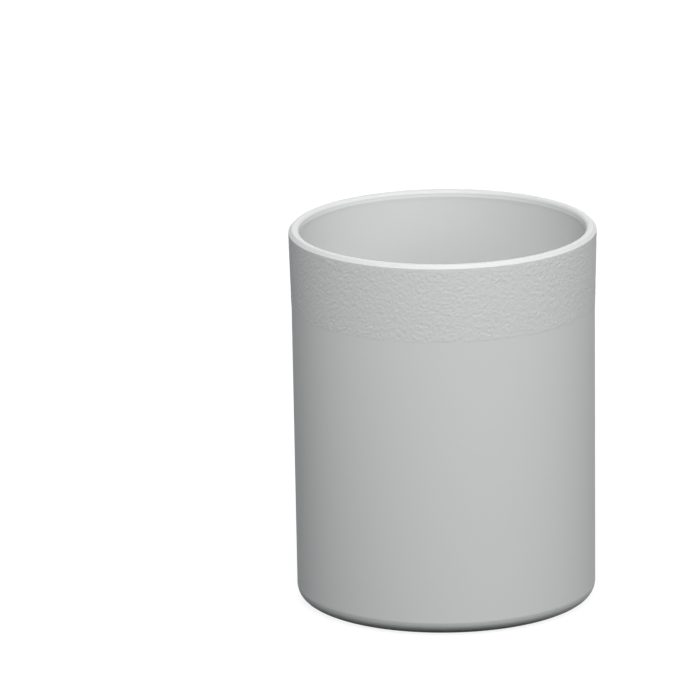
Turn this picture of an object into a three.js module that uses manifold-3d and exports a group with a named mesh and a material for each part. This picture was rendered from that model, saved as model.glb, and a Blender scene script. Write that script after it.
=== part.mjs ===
// A round desk pen cup: one injection-moulded shell standing on four non-slip pads.
// Units are millimetres and +Z is up. The origin lies on the desk, under the cup's axis.

import * as THREE from "three";
import {
  mergeVertices,
  toCreasedNormals,
} from "three/addons/utils/BufferGeometryUtils.js";
import Module from "manifold-3d";

// Overall size
const overallHeight = 99.6; // desk to rim
const rimDiameter = 80; // outside of the rim, the widest point

// Outer wall: a grained band flares out to the rim, above a plain wall with mould draft
const bandHeight = 20.6; // rim down to the band's lower edge
const bandFlare = 0.54; // how much further out the rim is than the band's lower edge
const outerDraftDegrees = 0.31; // below the band, the wall leans in by this much
const baseRound = 3.5; // radius where the wall turns under
const baseEdgeDegrees = 5; // the round starts already tilted by this much, which leaves a faint edge

// Inner wall
const wallThickness = 2.4; // at the band's lower edge
const innerDraftDegrees = 0.5; // lets the moulding core out, so the wall thickens downwards
const floorThickness = 2;
const floorRound = 3; // radius between the inner wall and the floor

// Rim: bevelled outside and rounded inside
const rimBevelHeight = 0.92;
const rimBevelWidth = 0.8;
const rimBevelRound = 0.45; // between the bevel and the flat top
const rimInnerRound = 1.05;

// Lip: a low bead inside, just under the rim's round, that runs out into the inner wall
const lipGap = 0.07; // plain strip between the round and the bead
const lipSlope = 0.33; // height of the bead's upper side
const lipDepth = 0.11; // how far the bead stands in from the strip above it
const lipFace = 0.42; // height of its face
const lipRunOut = 0.6; // height over which it meets the wall
const lipOverhang = 0.03; // how far it stands in from the wall

// Underside: a flat ring that carries the pads, around a shallow recess with the gate mark
const recessDepth = 0.6;
const recessRound = 0.5;
const gateWellDiameter = 7;
const gateWellDepth = 0.3;
const gateMarkDiameter = 2.2;
const gateMarkHeight = 0.25;

// Non-slip pads, each stuck into a round pocket of the ring
const padCount = 4;
const padDiameter = 8;
const padStandOff = 0.4; // how far a pad lifts the cup off the desk
const padSeatDepth = 0.7; // how deep a pad sits in its pocket
const padEdgeRound = 0.35;
const padClearance = 0.3; // between a pad's side and its pocket
const padMargin = 1.2; // flat ring left on each side of a pocket

// Smoothness
const turnSegments = 96; // round the cup
const padSegments = 40; // round a pad or its pocket
const arcSteps = 3; // half the number of straight steps in each quarter round
const creaseAngle = THREE.MathUtils.degToRad(22);
const weldDistance = 1e-4;

// Heights and radii that follow from the sizes above
const rimRadius = rimDiameter / 2;
const outerDraft = Math.tan(THREE.MathUtils.degToRad(outerDraftDegrees));
const innerDraft = Math.tan(THREE.MathUtils.degToRad(innerDraftDegrees));
const baseEdge = THREE.MathUtils.degToRad(baseEdgeDegrees);

const ringZ = padStandOff;
const recessZ = ringZ + recessDepth;
const floorZ = recessZ + floorThickness;
const bandZ = overallHeight - bandHeight;
const baseRoundZ = ringZ + baseRound; // centre of the round
const wallBottomZ = baseRoundZ - baseRound * Math.sin(baseEdge);
const lipTopZ = overallHeight - rimInnerRound - lipGap;
const lipCrestZ = lipTopZ - lipSlope;
const lipBottomZ = lipCrestZ - lipFace;
const lipFootZ = lipBottomZ - lipRunOut;

const bandBottomRadius = rimRadius - bandFlare;
const wallBottomRadius = bandBottomRadius - (bandZ - wallBottomZ) * outerDraft;
const ringOuterRadius = wallBottomRadius - baseRound * Math.cos(baseEdge);
const innerRadiusAt = (z) => bandBottomRadius - wallThickness + (z - bandZ) * innerDraft;
const lipRadius = innerRadiusAt(lipFootZ) - lipOverhang;
const rimInnerRadius = lipRadius + lipDepth;

const padRadius = padDiameter / 2;
const pocketRadius = padRadius + padClearance;
const pocketTopZ = ringZ + padSeatDepth;
const padCircleRadius = ringOuterRadius - padMargin - pocketRadius;
const recessRadius = padCircleRadius - pocketRadius - padMargin;

const wasm = await Module();
wasm.setup();

// Half of the cup's section, from the underside's centre round the outside to the floor's centre.
function cupSection() {
  const gateWellZ = recessZ + gateWellDepth;
  const gateMarkZ = gateWellZ - gateMarkHeight;
  const recessCorner = Math.min(recessRound, recessDepth);
  const bevelFacing = Math.atan2(rimBevelWidth, rimBevelHeight); // how far up the bevel faces
  const quarter = Math.PI / 2;
  const section = new THREE.Path();

  section.moveTo(0, gateMarkZ);
  section.lineTo(gateMarkDiameter / 2, gateMarkZ);
  section.lineTo(gateMarkDiameter / 2, gateWellZ);
  section.lineTo(gateWellDiameter / 2, gateWellZ);
  section.lineTo(gateWellDiameter / 2, recessZ);
  section.absarc(recessRadius - recessCorner, recessZ - recessCorner, recessCorner, quarter, 0, true);
  section.lineTo(recessRadius, ringZ);

  section.absarc(ringOuterRadius, baseRoundZ, baseRound, -quarter, -baseEdge, false);
  section.lineTo(bandBottomRadius, bandZ);
  section.lineTo(rimRadius, overallHeight - rimBevelHeight);
  const bevelReach = rimBevelRound * Math.tan((quarter - bevelFacing) / 2);
  const bevelCentre = rimRadius - rimBevelWidth - bevelReach;
  const bevelCentreZ = overallHeight - rimBevelRound;
  section.absarc(bevelCentre, bevelCentreZ, rimBevelRound, bevelFacing, quarter, false);

  const roundCentre = rimInnerRadius + rimInnerRound;
  const roundCentreZ = overallHeight - rimInnerRound;
  section.absarc(roundCentre, roundCentreZ, rimInnerRound, quarter, Math.PI, false);
  section.lineTo(rimInnerRadius, lipTopZ);
  section.lineTo(lipRadius, lipCrestZ);
  section.lineTo(lipRadius, lipBottomZ);
  section.lineTo(innerRadiusAt(lipFootZ), lipFootZ);

  const floorRoundZ = floorZ + floorRound;
  const floorRoundCentre = innerRadiusAt(floorRoundZ) - floorRound;
  section.absarc(floorRoundCentre, floorRoundZ, floorRound, 0, -quarter, true);
  section.lineTo(0, floorZ);
  return section;
}

// Half of a pad's section, with its lower edge rounded.
function padSection() {
  const section = new THREE.Path();
  section.moveTo(0, 0);
  section.lineTo(padRadius - padEdgeRound, 0);
  section.absarc(padRadius - padEdgeRound, padEdgeRound, padEdgeRound, -Math.PI / 2, 0, false);
  section.lineTo(padRadius, pocketTopZ);
  section.lineTo(0, pocketTopZ);
  return section;
}

// Turns a section about +Z. The section's x is the radius and its y is the height.
function revolve(section, segments) {
  const outline = section.getPoints(arcSteps);
  return new THREE.LatheGeometry(outline, segments).rotateX(Math.PI / 2);
}

function toSolid(geometry) {
  const bare = geometry.clone();
  bare.deleteAttribute("normal");
  bare.deleteAttribute("uv");
  const welded = mergeVertices(bare, weldDistance);
  return new wasm.Manifold(
    new wasm.Mesh({
      numProp: 3,
      vertProperties: welded.attributes.position.array,
      triVerts: new Uint32Array(welded.index.array),
    }),
  );
}

function toGeometry(solid) {
  const { vertProperties, triVerts } = solid.getMesh();
  const geometry = new THREE.BufferGeometry()
    .setAttribute("position", new THREE.BufferAttribute(vertProperties, 3))
    .setIndex(new THREE.BufferAttribute(triVerts, 1));
  return toCreasedNormals(geometry, creaseAngle);
}

// Where each pad sits, evenly round the ring, with the first one halfway between +X and +Y.
function padPlaces() {
  const step = (2 * Math.PI) / padCount;
  return Array.from({ length: padCount }, (_, i) => {
    const angle = (i + 0.5) * step;
    return new THREE.Vector2(Math.cos(angle), Math.sin(angle)).multiplyScalar(padCircleRadius);
  });
}

// The shell is one revolved section, and each pad's pocket is cut up into its ring.
function cupGeometry() {
  const cutterBelow = 1; // the cutter starts this far below the ring, so that it opens the face
  const cutterHeight = padSeatDepth + cutterBelow;
  const cutter = new THREE.CylinderGeometry(pocketRadius, pocketRadius, cutterHeight, padSegments)
    .rotateX(Math.PI / 2)
    .translate(0, 0, pocketTopZ - cutterHeight / 2);

  let shell = toSolid(revolve(cupSection(), turnSegments));
  for (const place of padPlaces()) {
    shell = shell.subtract(toSolid(cutter.clone().translate(place.x, place.y, 0)));
  }
  return toGeometry(shell);
}

const cupMaterial = new THREE.MeshStandardMaterial({
  color: 0xbdbfc0,
  roughness: 0.6,
  metalness: 0,
});
const padMaterial = new THREE.MeshStandardMaterial({
  color: 0x3b3d3f,
  roughness: 0.85,
  metalness: 0,
});

const penCup = new THREE.Group();

const cupBody = new THREE.Mesh(cupGeometry(), cupMaterial);
cupBody.name = "cup_body";
penCup.add(cupBody);

const padGeometry = toGeometry(toSolid(revolve(padSection(), padSegments)));
padPlaces().forEach((place, i) => {
  const pad = new THREE.Mesh(padGeometry, padMaterial);
  pad.name = `foot_pad_${i + 1}`;
  pad.position.set(place.x, place.y, 0);
  penCup.add(pad);
});

export default penCup;
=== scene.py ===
import math

import bmesh
import bpy
import numpy as np
from mathutils import Euler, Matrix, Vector
from mathutils.geometry import tessellate_polygon


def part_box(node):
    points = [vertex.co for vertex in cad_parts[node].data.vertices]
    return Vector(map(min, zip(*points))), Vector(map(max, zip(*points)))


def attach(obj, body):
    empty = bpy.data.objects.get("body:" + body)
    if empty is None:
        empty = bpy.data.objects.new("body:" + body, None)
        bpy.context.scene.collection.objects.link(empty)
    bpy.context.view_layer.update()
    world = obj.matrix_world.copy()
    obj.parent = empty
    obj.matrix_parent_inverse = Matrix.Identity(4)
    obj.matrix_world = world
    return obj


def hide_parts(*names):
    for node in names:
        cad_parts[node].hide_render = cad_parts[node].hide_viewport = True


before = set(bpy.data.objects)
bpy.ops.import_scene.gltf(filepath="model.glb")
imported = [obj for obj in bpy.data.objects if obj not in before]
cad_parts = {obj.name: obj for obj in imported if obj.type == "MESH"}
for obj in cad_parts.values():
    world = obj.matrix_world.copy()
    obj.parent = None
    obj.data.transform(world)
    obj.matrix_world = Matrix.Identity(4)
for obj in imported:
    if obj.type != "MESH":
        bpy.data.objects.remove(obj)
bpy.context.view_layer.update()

MM = 0.001

# Sizes that the CAD model's boxes give
shell_low, shell_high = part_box("cup_body")
RIM_RADIUS = shell_high.x
RIM_Z = shell_high.z
RING_Z = shell_low.z
pad_low, pad_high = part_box("foot_pad_1")
POCKET_TOP_Z = pad_high.z
PAD_RADIUS = (pad_high.x - pad_low.x) / 2
PAD_CIRCLE_RADIUS = ((pad_low + pad_high) / 2).xy.length
PAD_COUNT = 4

# The moulding's outside
BAND_HEIGHT = 20.6 * MM
BAND_FLARE = 0.54 * MM
OUTER_DRAFT = math.tan(math.radians(0.31))
BASE_ROUND = 3.45 * MM
BASE_EDGE_HEIGHT = 3.45 * MM  # where a faint edge ends the wall, above the ring
BASE_TILT = math.radians(8.5)  # of the strip between the edge and the round
BASE_EDGE_ROUND = 0.15 * MM

# Its inside
WALL_THICKNESS = 2.4 * MM
INNER_DRAFT = math.tan(math.radians(0.5))
FLOOR_THICKNESS = 2 * MM
FLOOR_ROUND = 3 * MM

# Its rim: bevelled outside, rounded inside, with a low lip under the round
RIM_BEVEL_HEIGHT = 0.92 * MM
RIM_BEVEL_WIDTH = 0.88 * MM
RIM_BEVEL_ROUND = 0.45 * MM
RIM_INNER_ROUND = 1.05 * MM
LIP_GAP = 0.07 * MM
LIP_SLOPE = 0.33 * MM
LIP_DEPTH = 0.11 * MM
LIP_FACE = 0.42 * MM
LIP_RUN_OUT = 0.6 * MM
LIP_OVERHANG = 0.03 * MM
LIP_ROUND = 1.5 * MM
LIP_COVE = 3 * MM
CREASE_ROUND = 0.06 * MM

# Its underside
RECESS_DEPTH = 0.6 * MM
RECESS_ROUND = 0.5 * MM
GATE_WELL_RADIUS = 3.5 * MM
GATE_WELL_DEPTH = 0.3 * MM
GATE_MARK_RADIUS = 1.1 * MM
GATE_MARK_HEIGHT = 0.25 * MM
GATE_ROUND = 0.08 * MM
POCKET_CLEARANCE = 0.3 * MM
RING_MARGIN = 1.2 * MM
PAD_EDGE_ROUND = 0.35 * MM
PAD_TOP_ROUND = 0.05 * MM

# The grain: fine wrinkles, with calmer patches here and there
GRAIN_DEPTH = 0.0265 * MM
GRAIN_SIZE = (0.08 * MM, 0.1 * MM)  # up the band and round it, before the mesh blurs it
GRAIN_RISE = 0.7  # how far its middle level stands out, as a share of its depth
GRAIN_EDGE = 0.12 * MM  # where it fades out, at both edges of the band
PATCH_SIZE = 0.9 * MM
PATCH_CALM = 0.2  # the share of the depth that the calmest patches lose
GRAIN_SEED = 11

# How finely the meshes are cut
BAND_COLUMNS = 960
BAND_ROWS = 72
WALL_COLUMNS = 192
RECESS_COLUMNS = 96
POCKET_COLUMNS = 64
ROUND_STEP = math.radians(11)
CREASE_GUARD = 0.12 * MM  # how close to a rounding a straight has a point of its own
LONG_STRAIGHT = 4 * CREASE_GUARD
SHARP_ANGLE = math.radians(35)
WELD = 0.001 * MM

# Levels and radii that follow
RECESS_Z = RING_Z + RECESS_DEPTH
FLOOR_Z = RECESS_Z + FLOOR_THICKNESS
BAND_Z = RIM_Z - BAND_HEIGHT
WALL_BOTTOM_Z = RING_Z + BASE_EDGE_HEIGHT
BEVEL_Z = RIM_Z - RIM_BEVEL_HEIGHT
LIP_TOP_Z = RIM_Z - RIM_INNER_ROUND - LIP_GAP
LIP_CREST_Z = LIP_TOP_Z - LIP_SLOPE
LIP_BOTTOM_Z = LIP_CREST_Z - LIP_FACE
LIP_FOOT_Z = LIP_BOTTOM_Z - LIP_RUN_OUT
BAND_BOTTOM_RADIUS = RIM_RADIUS - BAND_FLARE
WALL_BOTTOM_RADIUS = BAND_BOTTOM_RADIUS - (BAND_Z - WALL_BOTTOM_Z) * OUTER_DRAFT
POCKET_RADIUS = PAD_RADIUS + POCKET_CLEARANCE
RECESS_RADIUS = PAD_CIRCLE_RADIUS - POCKET_RADIUS - RING_MARGIN

# Colours, and how much the plastic's roughness differs from patch to patch
CUP_COLOR = (0.558, 0.565, 0.557)
# Painted shade: the inside's colour is the outside's, made a little darker.
INSIDE_SHADED_COLOR = (0.519, 0.525, 0.518)
# Painted shade: the rim's colour is the outside's, made darker to tone down the light that its top
# catches.
RIM_SHADED_COLOR = (0.494, 0.498, 0.493)
PAD_COLOR = (0.05, 0.052, 0.055)
ROUGHNESS_SPREAD = 0.03

# The shell's materials, by their places in its list
OUTSIDE, RIM, INSIDE = range(3)

# The camera: a long lens, a little above the cup, which it keeps right of the middle
CAMERA_TARGET = Vector((0, 0, 50.4 * MM))
CAMERA_DISTANCE = 2.4
CAMERA_ELEVATION = math.radians(15.77)
CAMERA_TURN = Euler((math.radians(74.602), math.radians(0.776), math.radians(0.392)))
CAMERA_LENS = 473.0
CAMERA_SENSOR = 36.0
CAMERA_RANGE = 100.0

# The white floor, and where the lamps point
FLOOR_SIZE = 60.0
FLOOR_GLOW = 0.88  # what a full shadow leaves of the floor's white
FLOOR_NEAR = 0.3  # where the glow starts to rise, away from the cup
FLOOR_FAR = 1.2  # where it has reached white
FLOOR_SHADE = 0.14  # how much of the lamps' light is added to the glow
FLOOR_BOUNCE = 0.03  # how much of it goes back up at the cup
LAMP_AIM = Vector((0, 0, 50 * MM))


def inner_radius(z):
    return BAND_BOTTOM_RADIUS - WALL_THICKNESS + (z - BAND_Z) * INNER_DRAFT


# Outlines. A corner is (radius, height, rounding), and an outline is a list of (radius, height).


def round_corner(before, corner, after):
    """The arc that rounds a corner between its two neighbours."""
    here = Vector(corner[:2])
    towards = (Vector(before[:2]) - here).normalized()
    away = (Vector(after[:2]) - here).normalized()
    turn = math.pi - towards.angle(away)
    reach = corner[2] * math.tan(turn / 2)
    middle = (towards + away).normalized()
    centre = here + middle * (corner[2] / math.cos(turn / 2))
    start = here + towards * reach - centre
    side = math.copysign(1, towards.cross(away))
    steps = max(2, math.ceil(turn / ROUND_STEP))
    points = []
    for i in range(steps + 1):
        angle = side * turn * i / steps
        cos, sin = math.cos(angle), math.sin(angle)
        spoke = Vector((start.x * cos + start.y * sin, start.y * cos - start.x * sin))
        points.append(centre + spoke)
    return points


def outline(corners):
    """A line through the corners. Each long straight has a point close to both of its ends, so that
    the shading of a rounding doesn't spread over it."""
    line = [Vector(corners[0][:2])]
    for before, corner, after in zip(corners, corners[1:], corners[2:]):
        line += round_corner(before, corner, after)
    line.append(Vector(corners[-1][:2]))
    guarded = [line[0]]
    for a, b in zip(line, line[1:]):
        along = b - a
        if along.length > LONG_STRAIGHT:
            guard = along.normalized() * CREASE_GUARD
            guarded += [a + guard, b - guard]
        guarded.append(b)
    return guarded


# Meshes


def circle(radius, z, columns):
    """One row of points round the axis. The radius is one number, or one for each column."""
    angle = np.arange(columns) * (2 * math.pi / columns)
    return np.stack([radius * np.cos(angle), radius * np.sin(angle), np.full(columns, z)], 1)


def turn_line(line, columns):
    """A row of points round the axis for each point of a line."""
    return [circle(p.x, p.y, columns) for p in line]


def add_rows(bm, rows, material=0):
    """Joins each row of points to the next. A row may have a whole number of times as many points
    as its neighbour, and a row of one point closes the mesh."""
    made = [[bm.verts.new(p) for p in row] for row in rows]
    for a, b in zip(made, made[1:]):
        few, many = (a, b) if len(a) <= len(b) else (b, a)
        each = len(many) // len(few)
        if len(few) == 1:
            faces = [[few[0], many[i], many[(i + 1) % each]] for i in range(each)]
        else:
            faces = [
                [few[i], few[(i + 1) % len(few)]]
                + [many[j % len(many)] for j in range((i + 1) * each, i * each - 1, -1)]
                for i in range(len(few))
            ]
        for face in faces:
            bm.faces.new(face).material_index = material
    return made


def finish_mesh(name, bm, materials):
    """Welds, turns every face outwards and makes the object, with its sharp edges kept sharp."""
    bmesh.ops.remove_doubles(bm, verts=bm.verts, dist=WELD)
    bmesh.ops.recalc_face_normals(bm, faces=bm.faces)
    mesh = bpy.data.meshes.new(name)
    bm.to_mesh(mesh)
    bm.free()
    mesh.shade_smooth()
    mesh.set_sharp_from_angle(angle=SHARP_ANGLE)
    for material in materials:
        mesh.materials.append(material)
    made = bpy.data.objects.new(name, mesh)
    bpy.context.scene.collection.objects.link(made)
    return made


# The cup


def smooth_noise(rng, shape, cell, size):
    """Seamless noise of unit spread. cell is the grid's spacing and size the width of the blobs,
    both as (up, round)."""
    up, across = (np.fft.fftfreq(n, step) * blob for n, step, blob in zip(shape, cell, size))
    squared = up[:, None] ** 2 + across[None, :] ** 2
    spectrum = np.fft.fft2(rng.standard_normal(shape)) * np.exp(-2 * math.pi**2 * squared)
    noise = np.fft.ifft2(spectrum).real
    return noise / noise.std()


def smooth_step(x):
    x = np.clip(x, 0, 1)
    return x * x * (3 - 2 * x)


def grain_rows(bottom, top):
    """The rows of the band between two (radius, height) points, with its grain standing out."""
    rng = np.random.default_rng(GRAIN_SEED)
    shape = (BAND_ROWS + 1, BAND_COLUMNS)
    share = np.linspace(0, 1, BAND_ROWS + 1)
    radius = bottom.x + (top.x - bottom.x) * share
    height = bottom.y + (top.y - bottom.y) * share
    cell = ((top.y - bottom.y) / BAND_ROWS, 2 * math.pi * RIM_RADIUS / BAND_COLUMNS)
    wrinkles = smooth_noise(rng, shape, cell, GRAIN_SIZE)
    patches = smooth_step(smooth_noise(rng, shape, cell, (PATCH_SIZE, PATCH_SIZE)) + 1)
    calm = 1 - PATCH_CALM * (1 - patches)
    from_edge = np.minimum(height - bottom.y, top.y - height)
    fade = smooth_step(from_edge / GRAIN_EDGE)[:, None]
    relief = GRAIN_DEPTH * (wrinkles * calm + GRAIN_RISE) * fade
    return [circle(r + h, z, BAND_COLUMNS) for r, h, z in zip(radius, relief, height)]


def shell_rows():
    """The moulding from the outer edge of its foot ring, up the outside and down to the middle of
    the floor. Returns the rows of its outside, its rim and its inside."""
    base_corner = WALL_BOTTOM_RADIUS - BASE_EDGE_HEIGHT * math.tan(BASE_TILT)
    ring_edge = base_corner - BASE_ROUND * math.tan((math.pi / 2 - BASE_TILT) / 2)
    wall = outline([
        (ring_edge, RING_Z, 0),
        (base_corner, RING_Z, BASE_ROUND),
        (WALL_BOTTOM_RADIUS, WALL_BOTTOM_Z, BASE_EDGE_ROUND),
        (BAND_BOTTOM_RADIUS, BAND_Z, 0),
    ])
    lip_radius = inner_radius(LIP_FOOT_Z) - LIP_OVERHANG
    rim_inner_radius = lip_radius + LIP_DEPTH
    crown = (RIM_RADIUS + rim_inner_radius) / 2
    _, _, band_end, *rim = outline([
        (BAND_BOTTOM_RADIUS, BAND_Z, 0),
        (RIM_RADIUS, BEVEL_Z, CREASE_ROUND),
        (RIM_RADIUS - RIM_BEVEL_WIDTH, RIM_Z, RIM_BEVEL_ROUND),
        (crown, RIM_Z, 0),
    ])
    inside = outline([
        (crown, RIM_Z, 0),
        (rim_inner_radius, RIM_Z, RIM_INNER_ROUND),
        (rim_inner_radius, LIP_TOP_Z, CREASE_ROUND),
        (lip_radius, LIP_CREST_Z, LIP_ROUND),
        (lip_radius, LIP_BOTTOM_Z, LIP_COVE),
        (inner_radius(LIP_FOOT_Z), LIP_FOOT_Z, LIP_COVE),
        (inner_radius(FLOOR_Z), FLOOR_Z, FLOOR_ROUND),
        (0, FLOOR_Z, 0),
    ])
    round_end = next(i for i, p in enumerate(inside) if p.y < LIP_TOP_Z)
    outer_rows = turn_line(wall[:-1], WALL_COLUMNS)
    outer_rows += grain_rows(wall[-1], band_end)
    outer_rows += turn_line(rim[:1], WALL_COLUMNS)
    rim_rows = turn_line(rim + inside[1 : round_end + 1], WALL_COLUMNS)
    inner_rows = turn_line(inside[round_end:-1], WALL_COLUMNS)
    inner_rows += [[(0, 0, FLOOR_Z)]]
    return outer_rows, rim_rows, inner_rows


def pad_places():
    """The pads' centres, as the CAD model has them."""
    for i in range(1, PAD_COUNT + 1):
        low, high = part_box(f"foot_pad_{i}")
        yield (low + high) / 2


def add_underside(bm, outer_edge):
    """The flat ring with a pocket for each pad, and the recess that it surrounds."""
    mark_z = RECESS_Z + GATE_WELL_DEPTH - GATE_MARK_HEIGHT
    well_z = RECESS_Z + GATE_WELL_DEPTH
    recess = outline([
        (RECESS_RADIUS + RECESS_ROUND, RING_Z, 0),
        (RECESS_RADIUS, RING_Z, GATE_ROUND),
        (RECESS_RADIUS, RECESS_Z, RECESS_ROUND),
        (GATE_WELL_RADIUS, RECESS_Z, GATE_ROUND),
        (GATE_WELL_RADIUS, well_z, GATE_ROUND),
        (GATE_MARK_RADIUS, well_z, GATE_ROUND),
        (GATE_MARK_RADIUS, mark_z, GATE_ROUND),
        (0, mark_z, 0),
    ])
    rows = turn_line(recess[:-1], RECESS_COLUMNS) + [[(0, 0, mark_z)]]
    inner_edge = add_rows(bm, rows, OUTSIDE)[0]
    loops = [outer_edge, inner_edge]
    for place in pad_places():
        across = Vector((place.x, place.y, 0))
        levels = [
            [Vector(p) + across for p in circle(POCKET_RADIUS, z, POCKET_COLUMNS)]
            for z in (RING_Z, POCKET_TOP_Z)
        ]
        centre = [across + Vector((0, 0, POCKET_TOP_Z))]
        loops.append(add_rows(bm, [*levels, centre], OUTSIDE)[0])
    flat = [v for loop in loops for v in loop]
    for corners in tessellate_polygon([[v.co for v in loop] for loop in loops]):
        bm.faces.new([flat[i] for i in corners]).material_index = OUTSIDE


def make_shell(materials):
    bm = bmesh.new()
    outer_rows, rim_rows, inner_rows = shell_rows()
    outer_edge = add_rows(bm, outer_rows, OUTSIDE)[0]
    add_rows(bm, rim_rows, RIM)
    add_rows(bm, inner_rows, INSIDE)
    add_underside(bm, outer_edge)
    return finish_mesh("cup_shell", bm, materials)


def make_pad(name, place, material):
    """A round pad with a softly rounded lower edge."""
    bm = bmesh.new()
    line = outline([
        (0, 0, 0),
        (PAD_RADIUS, 0, PAD_EDGE_ROUND),
        (PAD_RADIUS, POCKET_TOP_Z, PAD_TOP_ROUND),
        (0, POCKET_TOP_Z, 0),
    ])
    across = Vector((place.x, place.y, 0))
    rows = [[across]]
    rows += [[Vector(p) + across for p in row] for row in turn_line(line[1:-1], POCKET_COLUMNS)]
    rows += [[across + Vector((0, 0, POCKET_TOP_Z))]]
    add_rows(bm, rows)
    return finish_mesh(name, bm, [material])


# Materials


def plain_material(name, color, roughness, specular):
    material = bpy.data.materials.new(name)
    material.use_nodes = True
    shader = material.node_tree.nodes["Principled BSDF"]
    shader.inputs["Base Color"].default_value = (*color, 1)
    shader.inputs["Roughness"].default_value = roughness
    shader.inputs["Specular IOR Level"].default_value = specular
    return material, shader


def add_noise(material, size, detail):
    """Noise whose blobs are about as wide as size, fixed to the object."""
    nodes, links = material.node_tree.nodes, material.node_tree.links
    place = nodes.new("ShaderNodeTexCoord")
    noise = nodes.new("ShaderNodeTexNoise")
    noise.inputs["Scale"].default_value = 1 / size
    noise.inputs["Detail"].default_value = detail
    links.new(place.outputs["Object"], noise.inputs["Vector"])
    return noise.outputs["Fac"]


def add_bump(material, shader, size, depth):
    nodes, links = material.node_tree.nodes, material.node_tree.links
    bump = nodes.new("ShaderNodeBump")
    bump.inputs["Distance"].default_value = depth
    links.new(add_noise(material, size, detail=2), bump.inputs["Height"])
    links.new(bump.outputs["Normal"], shader.inputs["Normal"])


def vary_roughness(material, shader, size, low, high):
    nodes, links = material.node_tree.nodes, material.node_tree.links
    spread = nodes.new("ShaderNodeMapRange")
    spread.inputs["To Min"].default_value = low
    spread.inputs["To Max"].default_value = high
    links.new(add_noise(material, size, detail=3), spread.inputs["Value"])
    links.new(spread.outputs["Result"], shader.inputs["Roughness"])


def moulded_plastic(name, color, roughness, specular, bump_size, bump_depth, patch_size):
    """A moulding's surface, whose roughness differs a little from patch to patch."""
    material, shader = plain_material(name, color, roughness, specular)
    add_bump(material, shader, bump_size, bump_depth)
    low, high = roughness - ROUGHNESS_SPREAD, roughness + ROUGHNESS_SPREAD
    vary_roughness(material, shader, patch_size, low, high)
    return material


def satin_plastic():
    """The outside: a finely eroded mould surface."""
    return moulded_plastic(
        "satin_plastic", CUP_COLOR, roughness=0.6, specular=0.03,
        bump_size=0.12 * MM, bump_depth=0.002 * MM, patch_size=6 * MM,
    )


def rim_plastic():
    """The rim, which is smoother than the outside. Its colour is the outside's made darker: painted
    shade that tones down the light on the rim's top.
    """
    return moulded_plastic(
        "rim_plastic", RIM_SHADED_COLOR, roughness=0.5, specular=0.25,
        bump_size=0.5 * MM, bump_depth=0.001 * MM, patch_size=9 * MM,
    )


def smooth_plastic():
    """The inside, where the mould's core is polished most. Its colour is the outside's made a
    little darker: painted shade.
    """
    return moulded_plastic(
        "smooth_plastic", INSIDE_SHADED_COLOR, roughness=0.42, specular=0.25,
        bump_size=0.5 * MM, bump_depth=0.001 * MM, patch_size=9 * MM,
    )


def pad_rubber():
    material, shader = plain_material("pad_rubber", PAD_COLOR, roughness=0.8, specular=0.3)
    add_bump(material, shader, size=0.1 * MM, depth=0.01 * MM)
    return material


def floor_material():
    """White where it is seen, apart from a light shadow round the cup, and dark where it only sends
    light back up at the cup."""
    material = bpy.data.materials.new("floor")
    material.use_nodes = True
    nodes, links = material.node_tree.nodes, material.node_tree.links
    nodes.remove(nodes["Principled BSDF"])
    seen = nodes.new("ShaderNodeAddShader")
    links.new(floor_glow(nodes, links), seen.inputs[0])
    links.new(grey_diffuse(nodes, FLOOR_SHADE), seen.inputs[1])
    mix = nodes.new("ShaderNodeMixShader")
    links.new(seen_rays(nodes, links), mix.inputs["Fac"])
    links.new(grey_diffuse(nodes, FLOOR_BOUNCE), mix.inputs[1])
    links.new(seen.outputs["Shader"], mix.inputs[2])
    links.new(mix.outputs["Shader"], nodes["Material Output"].inputs["Surface"])
    return material


def floor_glow(nodes, links):
    """A glow that rises to white away from the cup."""
    place = nodes.new("ShaderNodeTexCoord")
    away = nodes.new("ShaderNodeVectorMath")
    away.operation = "LENGTH"
    links.new(place.outputs["Object"], away.inputs[0])
    rise = nodes.new("ShaderNodeMapRange")
    rise.inputs["From Min"].default_value = FLOOR_NEAR
    rise.inputs["From Max"].default_value = FLOOR_FAR
    rise.inputs["To Min"].default_value = FLOOR_GLOW
    links.new(away.outputs["Value"], rise.inputs["Value"])
    glow = nodes.new("ShaderNodeEmission")
    links.new(rise.outputs["Result"], glow.inputs["Strength"])
    return glow.outputs["Emission"]


def grey_diffuse(nodes, level):
    diffuse = nodes.new("ShaderNodeBsdfDiffuse")
    diffuse.inputs["Color"].default_value = (level, level, level, 1)
    return diffuse.outputs["BSDF"]


def seen_rays(nodes, links):
    """1 for the camera's rays, and for those that a gloss or glass sends on, and otherwise 0."""
    path = nodes.new("ShaderNodeLightPath")
    seen = path.outputs["Is Camera Ray"]
    for kind in ("Is Glossy Ray", "Is Transmission Ray"):
        either = nodes.new("ShaderNodeMath")
        either.operation = "MAXIMUM"
        links.new(seen, either.inputs[0])
        links.new(path.outputs[kind], either.inputs[1])
        seen = either.outputs["Value"]
    return seen


# The studio


def make_floor():
    half = FLOOR_SIZE / 2
    mesh = bpy.data.meshes.new("floor")
    corners = [(-half, -half, 0), (half, -half, 0), (half, half, 0), (-half, half, 0)]
    mesh.from_pydata(corners, [], [(0, 1, 2, 3)])
    mesh.materials.append(floor_material())
    floor = bpy.data.objects.new("floor", mesh)
    bpy.context.scene.collection.objects.link(floor)


def lamp_direction(azimuth, elevation):
    """Towards a lamp, in degrees. Azimuth 0 is behind the camera and 90 on its right."""
    a, e = math.radians(azimuth), math.radians(elevation)
    return Vector((math.sin(a) * math.cos(e), -math.cos(a) * math.cos(e), math.sin(e)))


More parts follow.
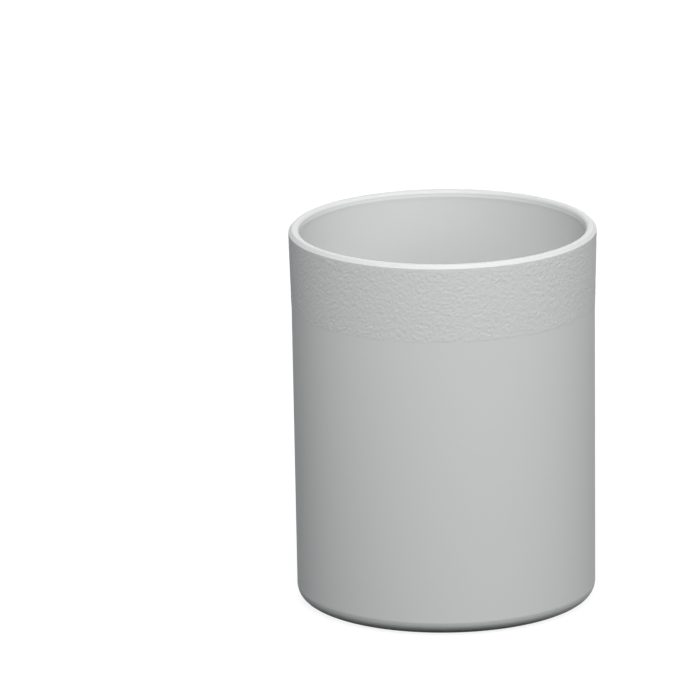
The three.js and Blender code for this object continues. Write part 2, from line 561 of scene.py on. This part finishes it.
def make_panel(name, azimuth, elevation, distance, size, strength, in_gloss=True):
    """A square soft box. A white surface in the cup's place looks white under a strength of 1, if
    it faces the lamp. Without in_gloss no gloss shows the lamp."""
    light = bpy.data.lights.new(name, "AREA")
    light.energy = strength * (math.pi * distance) ** 2
    light.size = size
    towards = lamp_direction(azimuth, elevation)
    lamp = bpy.data.objects.new(name, light)
    lamp.location = LAMP_AIM + towards * distance
    lamp.rotation_euler = towards.to_track_quat("Z", "Y").to_euler()
    lamp.visible_glossy = in_gloss
    bpy.context.scene.collection.objects.link(lamp)


def make_world(strength, color):
    """Even light from all sides. Where the background itself is seen, it is white."""
    world = bpy.data.worlds.new("studio")
    world.use_nodes = True
    nodes, links = world.node_tree.nodes, world.node_tree.links
    light = nodes["Background"]
    light.inputs["Color"].default_value = (*color, 1)
    light.inputs["Strength"].default_value = strength
    white = nodes.new("ShaderNodeBackground")
    white.inputs["Color"].default_value = (1, 1, 1, 1)
    mix = nodes.new("ShaderNodeMixShader")
    links.new(seen_rays(nodes, links), mix.inputs["Fac"])
    links.new(light.outputs["Background"], mix.inputs[1])
    links.new(white.outputs["Background"], mix.inputs[2])
    links.new(mix.outputs["Shader"], nodes["World Output"].inputs["Surface"])
    bpy.context.scene.world = world


def make_camera():
    camera = bpy.data.cameras.new("camera")
    camera.lens = CAMERA_LENS
    camera.sensor_width = CAMERA_SENSOR
    camera.clip_end = CAMERA_RANGE
    made = bpy.data.objects.new("camera", camera)
    back = Vector((0, -math.cos(CAMERA_ELEVATION), math.sin(CAMERA_ELEVATION)))
    made.location = CAMERA_TARGET + back * CAMERA_DISTANCE
    made.rotation_euler = CAMERA_TURN
    bpy.context.scene.collection.objects.link(made)
    bpy.context.scene.camera = made


make_camera()
make_floor()
make_panel("front", azimuth=0, elevation=52, distance=1.1, size=0.7, strength=1.15)
make_panel("right", azimuth=70, elevation=35, distance=1.1, size=0.8, strength=0.58)
make_panel("low_left", azimuth=-52, elevation=31, distance=0.45, size=0.25, strength=0.225)
make_panel("back", azimuth=180, elevation=25, distance=1.1, size=0.3, strength=0.38, in_gloss=False)
make_world(strength=0.14, color=(0.86, 0.99, 1.14))
bpy.context.scene.view_settings.view_transform = "Standard"

shell = make_shell([satin_plastic(), rim_plastic(), smooth_plastic()])
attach(shell, "root")
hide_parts("cup_body")

rubber = pad_rubber()
for i, place in enumerate(pad_places(), 1):
    pad = make_pad(f"non_slip_pad_{i}", place, rubber)
    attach(pad, "root")
    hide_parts(f"foot_pad_{i}")
